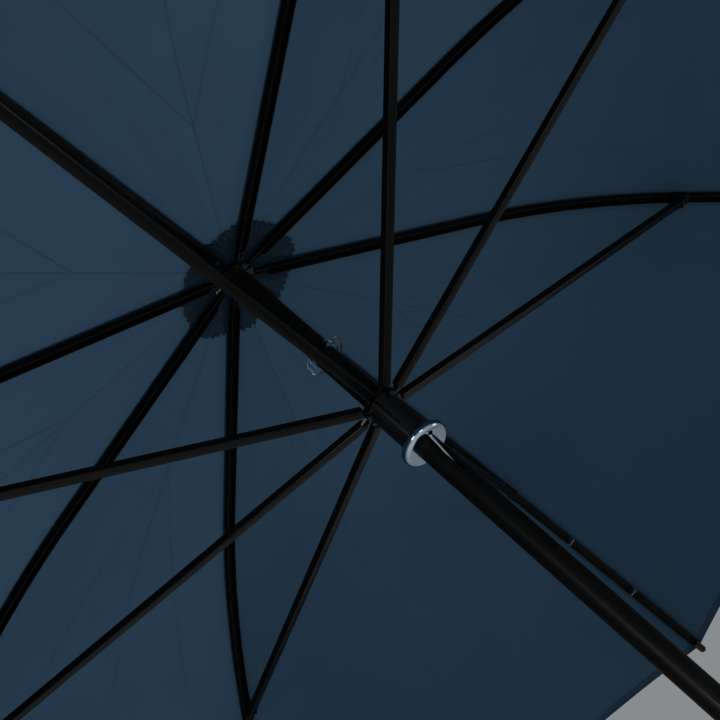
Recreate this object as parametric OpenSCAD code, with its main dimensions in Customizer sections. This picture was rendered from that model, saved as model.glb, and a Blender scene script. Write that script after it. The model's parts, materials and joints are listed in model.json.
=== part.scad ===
// Garden umbrella with a weighted base: a push-up frame of eight ribs on a round pole.
// The rest pose is the open umbrella. Millimetres, +Z up, the floor at z = 0, rib 1 along +X.

/* [View] */
// Sub-part to draw, or all of them

/* [Pole] */
// Outer diameter of both pole sections
pole_diameter = 25; // [22:1:38]
// Wall of the pole tube
pole_wall = 1.2; // [1:0.1:2]
// Height of the crown pivots above the floor
crown_height = 2180; // [1900:10:2500]
// Height at which the upper section plugs into the lower one
pole_joint_height = 760; // [600:10:860]

/* [Canopy frame] */
// Radius from the pole axis to the rib and stretcher pins
joint_radius = 617; // [500:1:700]
// Drop from the crown pivots to the runner pivots when open
runner_drop = 251; // [200:1:320]
// Radius of the tie wires that the ribs and stretchers turn on
pivot_radius = 16.5; // [16:0.1:18]
// Slope of a rib where it leaves the crown, in degrees
slope_crown = 6.5; // [5:0.5:9]
// Slope of a rib at its stretcher pin, in degrees
slope_joint = 24; // [20:0.5:26]
// Slope of a rib at its tip, in degrees
slope_tip = 34; // [30:0.5:36]
// Length of rib from the stretcher pin to the tip
outer_length = 470; // [380:5:520]
// Outer width of the rib channel
rib_width = 10.6; // [9:0.1:12]
// Outer width of the stretcher channel
stretcher_width = 10.4; // [9:0.1:11.6]
// Depth of both channels
channel_depth = 8; // [6:0.5:9]
// Sheet thickness of both channels
channel_wall = 1; // [0.8:0.1:1.4]
// Distance of the stretcher pin below the centre of the rib
pin_offset = 10; // [9:0.5:12]

/* [Canopy] */
// Thickness of the cloth solid
cloth_thickness = 0.9; // [0.6:0.1:2]
// Height of the cloth above the rib's centre line
cloth_offset = 6.2; // [6:0.1:8]

/* [Runner and catch] */
// Outer diameter of the runner tube
runner_diameter = 34; // [32:1:40]
// Outer diameter of the bright collar
collar_diameter = 53; // [46:1:60]
// Drop from the crown pivots to the middle of the collar
collar_drop = 315; // [290:1:360]
// Direction that the catch faces, in degrees
catch_angle = 40; // [0:1:359]
// Drop from the crown pivots to the catch rivet
rivet_drop = 488; // [420:1:520]
// Drop from the crown pivots to the clear stop ring
stop_drop = 160; // [120:1:200]

/* [Base] */
// Diameter of the weight
base_diameter = 450; // [380:10:560]
// Height of the weight's rim above its foot ring
base_height = 62; // [50:2:90]
// Top of the socket tube above the floor
socket_height = 400; // [300:10:450]

/* [Hidden] */
$fn = 48;
rib_count = 8;
step = 360 / rib_count;
half_gore = step / 2;
pole_r = pole_diameter / 2;
bore_r = pole_r - pole_wall;
half_depth = channel_depth / 2;
// clearances: a running fit, a loose fit and a sliding fit
run_fit = 0.05;
loose_fit = 0.1;
// linkage: the inner rib and the stretcher are equally long
reach = joint_radius - pivot_radius;
half_drop = runner_drop / 2;
link_length = sqrt(reach * reach + half_drop * half_drop);
link_angle = atan(half_drop / reach);
runner_height = crown_height - runner_drop;
// rib path: a straight, then an arc to the pin, then a flatter arc to the tip
path_x = reach + pin_offset * sin(slope_joint);
path_z = half_drop - pin_offset * cos(slope_joint);
arc_x = sin(slope_joint) - sin(slope_crown);
arc_z = cos(slope_crown) - cos(slope_joint);
path_det = cos(slope_crown) * arc_z - arc_x * sin(slope_crown);
straight_length = (path_x * arc_z - arc_x * path_z) / path_det;
inner_arc = (cos(slope_crown) * path_z - sin(slope_crown) * path_x) / path_det;
straight_end = [straight_length * cos(slope_crown), -straight_length * sin(slope_crown)];
inner_centre = straight_end - inner_arc * [sin(slope_crown), cos(slope_crown)];
pin_point = inner_centre + inner_arc * [sin(slope_joint), cos(slope_joint)];
tip_tongue = 18;
outer_arc = (outer_length - tip_tongue) / ((slope_tip - slope_joint) * PI / 180);
inner_steps = 10;
outer_steps = 6;
outer_centre = pin_point - outer_arc * [sin(slope_joint), cos(slope_joint)];
tip_point = outer_centre + outer_arc * [sin(slope_tip), cos(slope_tip)];
// eyelets and notched rings
wire_r = 1;
eye_r = wire_r + loose_fit;
tongue_thickness = 2.8;
tongue_half = 2.6;
rib_neck = 23;
stretcher_neck = 8;
neck_start = 8;
neck_width = 7.4;
slot_width = tongue_thickness + 0.4;
slot_floor = pivot_radius - tongue_half - 0.2;
ring_half = 4.5;
groove_half = wire_r + loose_fit;
crown_ring_r = 20;
runner_ring_r = 21;
// stretcher pin
pin_r = 1.5;
cheek_wall = 1.2;
cheek_inner = 5.35;
clip_length = 26;
// catch
catch_wire = 1.3;
collar_height = 11;
collar_z = crown_height - collar_drop;
tube_end = collar_z - 1.5;
rivet_z = crown_height - rivet_drop;
nose_r = 17.4;
nose_z = tube_end - 0.3 - catch_wire;
leg_r = 7.6;
ramp_length = 46;
catch_slot = 3.4;
// snap button
spigot_length = 60;
button_z = pole_joint_height - 30;
button_r = 4;
spigot_r = bore_r - run_fit;
// base and clamp
foot_height = 6;
foot_inner = 150;
foot_outer = 208;
socket_r = 16;
socket_floor = 14;
clamp_z = socket_height - 50;
boss_r = 11;
boss_end = 36;
pad_r = 6;
pad_seat = 21;
pad_front = pole_r + run_fit;
pad_back = 17.5;
screw_r = 5;
knob_start = 39;
knob_end = 60;
knob_r = 25;
lobes = 5;

black = [0.05, 0.05, 0.06];
chrome = [0.8, 0.82, 0.85];
steel = [0.6, 0.6, 0.62];
navy = [0.1, 0.16, 0.24];
clear = [0.75, 0.8, 0.85];
concrete = [0.55, 0.54, 0.52];
rubber = [0.12, 0.12, 0.12];

// A tube standing on z.
module tube(outer, inner, height) {
    difference() {
        cylinder(r = outer, h = height);
        translate([0, 0, -1])
            cylinder(r = inner, h = height + 2);
    }
}

// Stretcher channel along +X, open side up.
module straight_channel(length) {
    difference() {
        translate([0, -stretcher_width / 2, -half_depth])
            cube([length, stretcher_width, channel_depth]);
        translate([-1, -stretcher_width / 2 + channel_wall, -half_depth + channel_wall])
            cube([length + 2, stretcher_width - 2 * channel_wall, channel_depth]);
    }
}

// The rib's line in its own plane, at a height above the centre line.
function arc_point(centre, radius, slope) = centre + radius * [sin(slope), cos(slope)];
function arc_run(centre, radius, from, to, count) =
    [for (i = [1:count]) arc_point(centre, radius, from + (to - from) * i / count)];
function rib_line(start, up, over = 0) = concat(
    [start * [cos(slope_crown), -sin(slope_crown)] + up * [sin(slope_crown), cos(slope_crown)],
        straight_end + up * [sin(slope_crown), cos(slope_crown)]],
    arc_run(inner_centre, inner_arc + up, slope_crown, slope_joint, inner_steps),
    arc_run(outer_centre, outer_arc + up, slope_joint, slope_tip, outer_steps),
    over == 0 ? [] : [arc_point(outer_centre, outer_arc + up, slope_tip)
        + over * [cos(slope_tip), -sin(slope_tip)]]
);
function band(lower, upper) = concat(lower, [for (i = [1:len(upper)]) upper[len(upper) - i]]);

// A band of the rib's plane between two heights, as thick as the width.
module rib_band(start, low, high, width, over = 0) {
    rotate([90, 0, 0])
        linear_extrude(width, center = true)
            polygon(band(rib_line(start, low, over), rib_line(start, high, over)));
}

// Flat tongue along +X with an eye for the tie wire at the origin.
module eye_tongue(rise, neck) {
    difference() {
        union() {
            rotate([90, 0, 0])
                cylinder(r = tongue_half, h = tongue_thickness, center = true);
            translate([0, -tongue_thickness / 2, -tongue_half])
                cube([neck + 8, tongue_thickness, 2 * tongue_half]);
            translate([neck, -tongue_thickness / 2, min(rise, -tongue_half)])
                cube([8, tongue_thickness, abs(rise) + tongue_half]);
        }
        rotate([90, 0, 0])
            cylinder(r = eye_r, h = tongue_thickness + 1, center = true);
    }
}

module at_rib(k) {
    rotate([0, 0, step * (k - 1)])
        translate([pivot_radius, 0, crown_height])
            children();
}

// Places children at a point of the rib, turned to its slope.
module on_path(point, slope) {
    translate([point[0], 0, point[1]])
        rotate([0, slope, 0])
            children();
}

module rib(k) {
    color(black)
    at_rib(k) {
        rotate([0, slope_crown, 0]) {
            eye_tongue(half_depth - channel_wall / 2, rib_neck);
            translate([neck_start, -neck_width / 2, -tongue_half])
                cube([rib_neck - neck_start, neck_width, 2 * tongue_half]);
        }
        difference() {
            rib_band(rib_neck, -half_depth, half_depth, rib_width);
            rib_band(rib_neck - 1, -half_depth - 1, half_depth - channel_wall,
                rib_width - 2 * channel_wall, 3);
        }
        on_path(tip_point, slope_tip)
            translate([-6, -tongue_thickness / 2, -tongue_half])
                cube([6 + tip_tongue, tongue_thickness, tongue_half + half_depth - 0.5]);
    }
}

module stretcher(k) {
    open_end = 9;
    color(black)
    rotate([0, 0, step * (k - 1)])
        translate([pivot_radius, 0, runner_height])
            rotate([0, -link_angle, 0])
                difference() {
                    union() {
                        eye_tongue(-half_depth + channel_wall / 2, stretcher_neck);
                        translate([stretcher_neck, 0, 0])
                            straight_channel(link_length - stretcher_neck);
                        for (side = [-1, 1])
                            translate([link_length, side * (stretcher_width - channel_wall) / 2, 0])
                                rotate([90, 0, 0])
                                    cylinder(r = half_depth, h = channel_wall, center = true);
                    }
                    translate([link_length - open_end, -stretcher_width / 2 + channel_wall, -half_depth - 1])
                        cube([open_end + 1, stretcher_width - 2 * channel_wall, channel_wall + 2]);
                    translate([link_length, 0, 0])
                        rotate([90, 0, 0])
                            cylinder(r = pin_r + run_fit, h = stretcher_width + 2, center = true);
                }
}

// Saddle on the rib with two cheeks, and the pin that the stretcher turns on.
module joint_clip(k) {
    head = 3;
    color(black)
    at_rib(k)
        on_path(pin_point, slope_joint) {
            difference() {
                union() {
                    for (side = [-1, 1])
                        translate([0, side * (cheek_inner + cheek_wall / 2), 0]) {
                            translate([-clip_length / 2, -cheek_wall / 2, -half_depth - 2])
                                cube([clip_length, cheek_wall, half_depth + 4]);
                            translate([-5, -cheek_wall / 2, -pin_offset])
                                cube([10, cheek_wall, pin_offset]);
                            translate([0, 0, -pin_offset])
                                rotate([90, 0, 0])
                                    cylinder(r = 5, h = cheek_wall, center = true);
                        }
                    translate([4, -cheek_inner - cheek_wall / 2, -half_depth - 1.4])
                        cube([clip_length / 2 - 4, 2 * cheek_inner + cheek_wall, 1.2]);
                }
                translate([0, 0, -pin_offset])
                    rotate([90, 0, 0])
                        cylinder(r = pin_r + 0.02, h = 20, center = true);
            }
            translate([0, 0, -pin_offset])
                rotate([90, 0, 0]) {
                    cylinder(r = pin_r, h = 2 * (cheek_inner + cheek_wall) + 1, center = true);
                    for (side = [-1, 1])
                        translate([0, 0, side * (cheek_inner + cheek_wall + 0.55)])
                            cylinder(r = head, h = 1, center = true);
                }
        }
}

// Blunt cap over the flattened rib end.
module rib_tip(k) {
    cap_r = 5.6;
    cap_length = 19;
    color(black)
    at_rib(k)
        on_path(tip_point, slope_tip)
            difference() {
                translate([2, 0, 0]) {
                    rotate([0, 90, 0])
                        cylinder(r = cap_r, h = cap_length);
                    translate([cap_length, 0, 0])
                        sphere(r = cap_r);
                }
                translate([-1, -tongue_thickness / 2 - loose_fit, -tongue_half - loose_fit])
                    cube([tip_tongue + 1.2, tongue_thickness + 2 * loose_fit, tongue_half + half_depth]);
            }
}

// Cloth line above the rib, as points of the middle plane of a gore.
function cloth_line(up) = [
    for (p = concat(rib_line(3, up), [tip_point + up * [sin(slope_tip), cos(slope_tip)]
        + tip_tongue * [cos(slope_tip), -sin(slope_tip)]]))
        [(pivot_radius + p[0]) * cos(half_gore), p[1]]
];

// Half a gore each side of the rib, meeting its neighbours at the middle of the gores.
module canopy(k) {
    outline = band(cloth_line(cloth_offset), cloth_line(cloth_offset + cloth_thickness));
    span = joint_radius + outer_length;
    gap = 0.15;
    color(navy)
    translate([0, 0, crown_height])
        rotate([0, 0, step * (k - 1)])
            for (side = [0, 1])
                mirror([0, side, 0])
                    rotate([0, 0, half_gore])
                        intersection() {
                            rotate([90, 0, 0])
                                linear_extrude(span, center = true)
                                    polygon(outline);
                            translate([0, 0, -span])
                                linear_extrude(2 * span)
                                    polygon([[0, -gap], [span, -span * tan(half_gore)], [span, -gap]]);
                        }
}

// Hole through one wall of the pole at an angle and a height.
module wall_hole(angle, z, radius) {
    rotate([0, 0, angle])
        translate([0, 0, z])
            rotate([0, 90, 0])
                cylinder(r = radius, h = pole_r + 1);
}

module upper_pole() {
    top = crown_height + 24;
    color(black)
    difference() {
        union() {
            translate([0, 0, pole_joint_height + run_fit])
                cylinder(r = pole_r, h = top - pole_joint_height - run_fit);
            translate([0, 0, pole_joint_height - spigot_length])
                cylinder(r = spigot_r, h = spigot_length + 1);
        }
        translate([0, 0, pole_joint_height + 4])
            cylinder(r = bore_r, h = top);
        translate([0, 0, pole_joint_height - spigot_length - 1])
            cylinder(r = spigot_r - pole_wall, h = spigot_length + 10);
        rotate([0, 0, catch_angle])
            translate([0, -catch_slot / 2, nose_z - ramp_length - 6])
                cube([pole_r + 1, catch_slot, ramp_length + 10]);
        wall_hole(catch_angle, rivet_z, 1.6);
        wall_hole(90, button_z, button_r + 0.1);
    }
}

module lower_pole() {
    color(black)
    difference() {
        translate([0, 0, socket_floor])
            tube(pole_r, bore_r, pole_joint_height - socket_floor);
        wall_hole(90, button_z, button_r + 0.1);
    }
}

// Notched ring about z = 0: two flanges, a groove for the wire, a slot for each tongue.
module notched_ring(outer, bore) {
    difference() {
        translate([0, 0, -ring_half])
            tube(outer, bore, 2 * ring_half);
        translate([0, 0, -groove_half])
            tube(outer + 1, pivot_radius - groove_half, 2 * groove_half);
        for (k = [1:rib_count])
            rotate([0, 0, step * (k - 1)])
                translate([slot_floor, -slot_width / 2, -ring_half - 1])
                    cube([outer, slot_width, 2 * ring_half + 2]);
    }
}

module tie_wire() {
    rotate_extrude($fn = 96)
        translate([pivot_radius, 0])
            circle(r = wire_r, $fn = 24);
}

module crown_notch() {
    color(black)
    translate([0, 0, crown_height])
        notched_ring(crown_ring_r, pole_r + 0.02);
}

module crown_wire() {
    color(steel)
    translate([0, 0, crown_height])
        tie_wire();
}

module crown_cap() {
    rim = 33;
    color(black)
    translate([0, 0, crown_height])
        rotate_extrude($fn = 96)
            polygon([[pole_r + 0.02, 9.4], [rim, 7], [rim + 0.6, 8], [rim - 1, 9.2],
                [24, 12.4], [17, 14.2], [pole_r + 0.02, 14.6]]);
}

module finial() {
    color(black)
    translate([0, 0, crown_height + 14.8])
        difference() {
            union() {
                cylinder(r = 17, h = 5);
                cylinder(r = 14.6, h = 17);
                translate([0, 0, 17])
                    cylinder(r1 = 14.6, r2 = 8, h = 7, $fn = 64);
                translate([0, 0, 38])
                    sphere(r = 17, $fn = 64);
            }
            translate([0, 0, -1])
                cylinder(r = pole_r + 0.03, h = 11);
        }
}

// Gathered cloth disc between the ribs and the canopy.
module rosette() {
    inner = pole_r + 0.6;
    outer = 76;
    low = 5;
    thick = 0.4;
    fall = tan(slope_crown);
    color(navy)
    translate([0, 0, crown_height])
        rotate_extrude($fn = 96)
            polygon([[inner, low - (inner - pivot_radius) * fall],
                [outer, low - (outer - pivot_radius) * fall],
                [outer, low + thick - (outer - pivot_radius) * fall],
                [inner, low + thick - (inner - pivot_radius) * fall]]);
}

module runner() {
    bore = pole_r + loose_fit;
    tube_r = runner_diameter / 2;
    color(black) {
        translate([0, 0, runner_height])
            notched_ring(runner_ring_r, bore);
        translate([0, 0, tube_end])
            difference() {
                tube(tube_r, bore, runner_height - ring_half - tube_end);
                translate([0, 0, 9])
                    tube(tube_r - 2, bore - 1, runner_height - ring_half - tube_end - 18);
            }
    }
}

module runner_wire() {
    color(steel)
    translate([0, 0, runner_height])
        tie_wire();
}

module chrome_collar() {
    edge = 5;
    half = collar_height / 2;
    outer = collar_diameter / 2;
    bore = pole_r + 0.3;
    color(chrome)
    translate([0, 0, collar_z])
        difference() {
            rotate_extrude($fn = 96)
                difference() {
                    union() {
                        translate([bore, -half])
                            square([outer - edge - bore, collar_height]);
                        translate([outer - edge, 0])
                            intersection() {
                                scale([edge / half, 1])
                                    circle(r = half, $fn = 64);
                                translate([0, -half])
                                    square([edge, collar_height]);
                            }
                    }
                    translate([0, tube_end - collar_z])
                        square([runner_diameter / 2 + 0.02, collar_height]);
                }
            rotate([0, 0, catch_angle]) {
                translate([0, -2.3, -half - 1])
                    cube([nose_r + 0.6, 4.6, collar_height]);
                translate([nose_r + 0.6, 0, -half - 1])
                    cylinder(r = 3.2, h = collar_height);
            }
        }
}

// A run of wire between two points of the catch's plane, as a flat outline.
module wire_run(from, to) {
    along = to - from;
    translate(from)
        rotate(atan2(along[1], along[0]))
            translate([0, -catch_wire])
                square([norm(along), 2 * catch_wire]);
}

// Bent spring: eye at the rivet, leg inside the pole, ramp, nose and return.
module catch_spring() {
    bends = [[leg_r, rivet_z + 3], [leg_r, nose_z - ramp_length], [nose_r - catch_wire, nose_z],
        [leg_r, nose_z], [leg_r - 3, nose_z - 9]];
    color(chrome)
    rotate([0, 0, catch_angle]) {
        rotate([90, 0, 0])
            linear_extrude(2 * catch_wire, center = true) {
                for (i = [0:len(bends) - 2])
                    wire_run(bends[i], bends[i + 1]);
                for (bend = bends)
                    translate(bend)
                        circle(r = catch_wire, $fn = 12);
            }
        translate([leg_r - 1, 0, rivet_z])
            rotate([0, 90, 0])
                tube(4, 1.5, 2);
    }
}

module catch_rivet() {
    color(steel)
    rotate([0, 0, catch_angle])
        translate([0, 0, rivet_z])
            rotate([0, 90, 0]) {
                translate([0, 0, leg_r - 2.6])
                    cylinder(r = 2.6, h = 1.4);
                translate([0, 0, leg_r - 1.6])
                    cylinder(r = 1.2, h = pole_r - leg_r + 2);
                translate([0, 0, pole_r + 0.05])
                    cylinder(r = 3, h = 1.1);
            }
}

module stop_ring() {
    color(clear)
    translate([0, 0, crown_height - stop_drop]) {
        tube(23, pole_r + 0.02, 2.4);
        tube(15.6, pole_r + 0.02, 7);
        tube(21, 19.6, 3.2);
    }
}

// Button on a bent leaf inside the spigot.
module snap_button() {
    color(steel)
    rotate([0, 0, 90])
        translate([0, 0, button_z]) {
            rotate([0, 90, 0]) {
                translate([0, 0, 5])
                    cylinder(r = button_r, h = 8.6);
                translate([0, 0, 13.6])
                    scale([1, 1, 0.5])
                        sphere(r = button_r);
            }
            translate([4.2, -3, -28])
                cube([1, 6, 34]);
            translate([3, -3, -29])
                cube([2.2, 6, 1.4]);
        }
}

module base_weight() {
    outer = base_diameter / 2;
    round = 16;
    top = foot_height + base_height;
    color(concrete)
    difference() {
        rotate_extrude($fn = 128)
            difference() {
                union() {
                    translate([0, foot_height])
                        square([outer - round, base_height]);
                    translate([0, foot_height + 4])
                        square([outer, base_height - round - 4]);
                    translate([outer - round, top - round])
                        circle(r = round, $fn = 64);
                    translate([0, foot_height])
                        square([outer - 4, 6]);
                    translate([0, top - 1])
                        polygon([[0, 0], [70, 0], [44, 14], [0, 14]]);
                }
                translate([-2 * outer, 0])
                    square([2 * outer, 2 * top]);
            }
        translate([0, 0, socket_floor - 4])
            cylinder(r = socket_r + 0.02, h = top + 20);
    }
}

module socket_tube() {
    bore = pole_r + loose_fit;
    color(black)
    difference() {
        union() {
            translate([0, 0, socket_floor - 3.95])
                cylinder(r = socket_r, h = socket_height - socket_floor + 3.95);
            translate([0, 0, clamp_z])
                rotate([0, 90, 0])
                    cylinder(r = boss_r, h = boss_end);
        }
        translate([0, 0, socket_floor])
            cylinder(r = bore, h = socket_height);
        translate([0, 0, clamp_z])
            rotate([0, 90, 0]) {
                cylinder(r = pad_r + loose_fit, h = pad_seat);
                cylinder(r = screw_r + run_fit, h = boss_end + 1);
            }
    }
}

module pressure_pad() {
    color(rubber)
    translate([0, 0, clamp_z])
        rotate([0, 90, 0])
            difference() {
                translate([0, 0, pad_front])
                    cylinder(r = pad_r, h = pad_back - pad_front);
                translate([0, 0, pad_back - 2])
                    cylinder(r = 3 + run_fit, h = 3);
            }
}

module clamp_screw() {
    color(steel)
    translate([0, 0, clamp_z])
        rotate([0, 90, 0]) {
            translate([0, 0, pad_back - 1.9])
                cylinder(r = 3, h = 3);
            translate([0, 0, pad_back + 0.05])
                cylinder(r = screw_r, h = knob_end - 8 - pad_back);
        }
}

module clamp_knob() {
    color(black)
    translate([0, 0, clamp_z])
        rotate([0, 90, 0])
            translate([0, 0, knob_start])
                difference() {
                    union() {
                        cylinder(r = 9, h = 7);
                        translate([0, 0, 6])
                            linear_extrude(knob_end - knob_start - 6) {
                                circle(r = 18);
                                for (i = [1:lobes])
                                    rotate(i * 360 / lobes)
                                        translate([knob_r - 8, 0])
                                            circle(r = 8);
                            }
                    }
                    translate([0, 0, -1])
                        cylinder(r = screw_r + 0.02, h = knob_end - knob_start - 6.9);
                }
}

module foot_ring() {
    color(rubber)
        tube(foot_outer, foot_inner, foot_height);
}

for (k = [1:rib_count]) {
    rib(k);
    stretcher(k);
    joint_clip(k);
    rib_tip(k);
    canopy(k);
}
upper_pole();
lower_pole();
crown_notch();
crown_wire();
crown_cap();
finial();
rosette();
runner();
runner_wire();
chrome_collar();
catch_spring();
catch_rivet();
stop_ring();
snap_button();
base_weight();
socket_tube();
clamp_screw();
clamp_knob();
pressure_pad();
foot_ring();
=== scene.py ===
# %% [markdown]
# A garden umbrella seen from underneath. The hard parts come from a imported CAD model, which stays where it is.
# This script adds what CAD leaves plain: the cloth, the pressed channels, the threads, the paint and the light.
# Everything is in metres, with the pole on the Z axis and the floor at zero.

# %% Load the frame
import json
import math
import random

import bmesh
import bpy
from mathutils import Matrix, Vector


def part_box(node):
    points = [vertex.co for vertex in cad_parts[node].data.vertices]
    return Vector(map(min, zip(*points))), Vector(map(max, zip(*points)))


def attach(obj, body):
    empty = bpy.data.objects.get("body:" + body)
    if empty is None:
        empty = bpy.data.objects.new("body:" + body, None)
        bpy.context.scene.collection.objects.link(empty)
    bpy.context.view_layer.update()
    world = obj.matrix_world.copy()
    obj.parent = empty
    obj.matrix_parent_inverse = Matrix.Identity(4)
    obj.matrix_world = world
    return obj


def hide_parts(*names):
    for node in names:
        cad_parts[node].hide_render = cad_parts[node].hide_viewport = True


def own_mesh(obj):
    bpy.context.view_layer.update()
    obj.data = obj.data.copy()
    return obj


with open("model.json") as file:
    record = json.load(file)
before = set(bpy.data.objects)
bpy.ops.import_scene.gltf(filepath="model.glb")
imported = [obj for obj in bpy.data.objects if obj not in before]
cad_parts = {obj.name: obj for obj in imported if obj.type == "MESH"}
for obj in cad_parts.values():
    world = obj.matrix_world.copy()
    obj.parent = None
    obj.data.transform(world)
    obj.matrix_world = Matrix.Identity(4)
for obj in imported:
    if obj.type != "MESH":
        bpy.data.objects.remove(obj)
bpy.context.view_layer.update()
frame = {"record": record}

# %% [markdown]
# The frame record holds every joint with its place, so the rib's pivot, the stretcher's pin and the runner's height
# are read from it and not typed again. Only the sheet-metal sizes below are this script's own.

# %% Sizes
JOINTS = {joint["name"]: joint for joint in frame["record"]["behaviour"]["joints"]}
RIBS = 8
STEP = 2 * math.pi / RIBS
HALF = STEP / 2
PIVOT_R, _, CROWN = JOINTS["canopy_fold"]["pos_m"]
PIN_R, _, PIN_Z = JOINTS["stretcher_1_turn"]["pos_m"]
RUNNER_Z = JOINTS["runner_slide"]["pos_m"][2]
POLE_R = 0.0125
CHANNEL_DEPTH = 0.008
CHANNEL_WALL = 0.001
RIB_WIDTH = 0.0106
STRETCHER_WIDTH = 0.0104
RIB_NECK = 0.023
STRETCHER_NECK = 0.008
NECK_WIDTH = 0.0074
PIN_DROP = 0.010
CLOTH_UP = 0.00665
CLOTH_THICK = 0.0005
TIP_TONGUE = 0.018
print("ribs turn at", round(PIVOT_R, 4), "from the axis and", CROWN, "up")

# %% [markdown]
# A rib is one long bend: nearly straight from the crown, then an arc down to the stretcher's pin, then a flatter arc
# to the tip. A formula for it gives the channel, the cloth, the seams and the ties the same line to follow.
# The two unknown lengths come from where the pin has to be, which is two equations with two answers.

# %% The rib's line
SLOPES = [math.radians(angle) for angle in (6.5, 24, 34)]
OUTER_LENGTH = 0.470


def slope_vector(slope, up=0.0):
    """Unit step along a slope (out, down), or square to it (out, up)."""
    along = Vector((math.cos(slope), -math.sin(slope)))
    return along if not up else Vector((math.sin(slope), math.cos(slope))) * up


def solve_rib():
    """Length of the straight stretch and radius of the first arc."""
    start, pin, _ = SLOPES
    out = PIN_R - PIVOT_R + PIN_DROP * math.sin(pin)
    down = CROWN - PIN_Z - PIN_DROP * math.cos(pin)
    arc_out = math.sin(pin) - math.sin(start)
    arc_down = math.cos(start) - math.cos(pin)
    det = math.cos(start) * arc_down - arc_out * math.sin(start)
    straight = (out * arc_down - arc_out * down) / det
    radius = (math.cos(start) * down - math.sin(start) * out) / det
    return straight, radius


STRAIGHT, INNER_ARC = solve_rib()
INNER_LENGTH = INNER_ARC * (SLOPES[1] - SLOPES[0])
OUTER_ARC = (OUTER_LENGTH - TIP_TONGUE) / (SLOPES[2] - SLOPES[1])
RIB_LENGTH = STRAIGHT + INNER_LENGTH + OUTER_LENGTH


def rib_line(along, up=0.0):
    """Distance from the pole axis, height, and slope at a distance along the rib from its pivot."""
    point = Vector((PIVOT_R, CROWN)) + slope_vector(SLOPES[0]) * min(along, STRAIGHT)
    slope = SLOPES[0]
    left = along - STRAIGHT
    for length, radius in ((INNER_LENGTH, INNER_ARC), (OUTER_LENGTH - TIP_TONGUE, OUTER_ARC)):
        if left > 0:
            turned = slope + min(left, length) / radius
            point += radius * (slope_vector(turned, 1) - slope_vector(slope, 1))
            slope = turned
            left -= length
    if left > 0:
        point += slope_vector(slope) * left
    point += slope_vector(slope, 1) * up
    return point[0], point[1], slope


print("rib", round(RIB_LENGTH, 3), "m long, tip", [round(v, 3) for v in rib_line(RIB_LENGTH)])

# %% [markdown]
# The camera stands beside the pole, below the canopy, and looks up at the crown. It is rolled to one side, so a
# plain look-at isn't enough: the level view is worked out first and then turned about the line of sight.

# %% Camera
EYE = Vector((1.1329, 0.0518, 1.2140))
SIGHT = Vector((-0.82662, -0.02304, 0.56229)).normalized()
ROLL = math.radians(49.15)
LENS_MM = 67.8


def aim_camera():
    data = bpy.data.cameras.new("camera")
    camera = bpy.data.objects.new("camera", data)
    bpy.context.scene.collection.objects.link(camera)
    level_right = SIGHT.cross(Vector((0, 0, 1))).normalized()
    level_up = level_right.cross(SIGHT)
    right = level_right * math.cos(ROLL) - level_up * math.sin(ROLL)
    up = level_up * math.cos(ROLL) + level_right * math.sin(ROLL)
    turn = Matrix((right, up, -SIGHT)).transposed().to_4x4()
    camera.matrix_world = Matrix.Translation(EYE) @ turn
    data.lens = LENS_MM
    data.sensor_width = 36
    data.clip_start = 0.05
    data.clip_end = 60
    bpy.context.scene.camera = camera


aim_camera()
print("camera at", [round(v, 2) for v in EYE])

# %% [markdown]
# Each finish is a node tree on one Principled shader. The helpers keep those trees short: one adds a noise, one adds
# a bump, one mixes two colours by a mask. All of them read Object coordinates, so nothing slides when a part moves.

# %% Shader helpers
def finish_shader(name, colour, roughness, **sockets):
    """A material with one Principled shader and its plain values set."""
    material = bpy.data.materials.new(name)
    material.use_nodes = True
    shader = material.node_tree.nodes["Principled BSDF"]
    shader.inputs["Base Color"].default_value = (*colour, 1)
    shader.inputs["Roughness"].default_value = roughness
    for socket, value in sockets.items():
        shader.inputs[socket.replace("_", " ")].default_value = value
    material.diffuse_color = (*colour, 1)
    return material


def add_node(material, kind, **values):
    node = material.node_tree.nodes.new(kind)
    for name, value in values.items():
        if name in node.inputs:
            node.inputs[name].default_value = value
        else:
            setattr(node, name, value)
    return node


def wire(material, source, target):
    material.node_tree.links.new(source, target)


def object_noise(material, scale, detail=3.0, stretch=(1, 1, 1)):
    """A noise in object space, stretched along an axis when asked."""
    place = add_node(material, "ShaderNodeTexCoord")
    mapping = add_node(material, "ShaderNodeMapping")
    mapping.inputs["Scale"].default_value = stretch
    wire(material, place.outputs["Object"], mapping.inputs["Vector"])
    noise = add_node(material, "ShaderNodeTexNoise", Scale=scale, Detail=detail)
    wire(material, mapping.outputs["Vector"], noise.inputs["Vector"])
    return noise.outputs["Fac"]


def remap(material, value, low, high, new_low, new_high):
    node = add_node(material, "ShaderNodeMapRange")
    for name, number in zip(("From Min", "From Max", "To Min", "To Max"), (low, high, new_low, new_high)):
        node.inputs[name].default_value = number
    wire(material, value, node.inputs["Value"])
    return node.outputs["Result"]


def vary_roughness(material, value, low, high):
    shader = material.node_tree.nodes["Principled BSDF"]
    wire(material, remap(material, value, 0.3, 0.7, low, high), shader.inputs["Roughness"])


def vary_colour(material, value, dark, light):
    """Blend two colours by a value from 0 to 1."""
    shader = material.node_tree.nodes["Principled BSDF"]
    mix = add_node(material, "ShaderNodeMix", data_type="RGBA")
    wire(material, value, mix.inputs[0])
    mix.inputs[6].default_value = (*dark, 1)
    mix.inputs[7].default_value = (*light, 1)
    wire(material, mix.outputs[2], shader.inputs["Base Color"])


def add_bump(material, value, depth, strength=1.0):
    """Bumps pile up: each new one feeds on the last."""
    shader = material.node_tree.nodes["Principled BSDF"]
    bump = add_node(material, "ShaderNodeBump", Distance=depth, Strength=strength)
    wire(material, value, bump.inputs["Height"])
    if shader.inputs["Normal"].links:
        wire(material, shader.inputs["Normal"].links[0].from_socket, bump.inputs["Normal"])
    wire(material, bump.outputs["Normal"], shader.inputs["Normal"])


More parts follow.
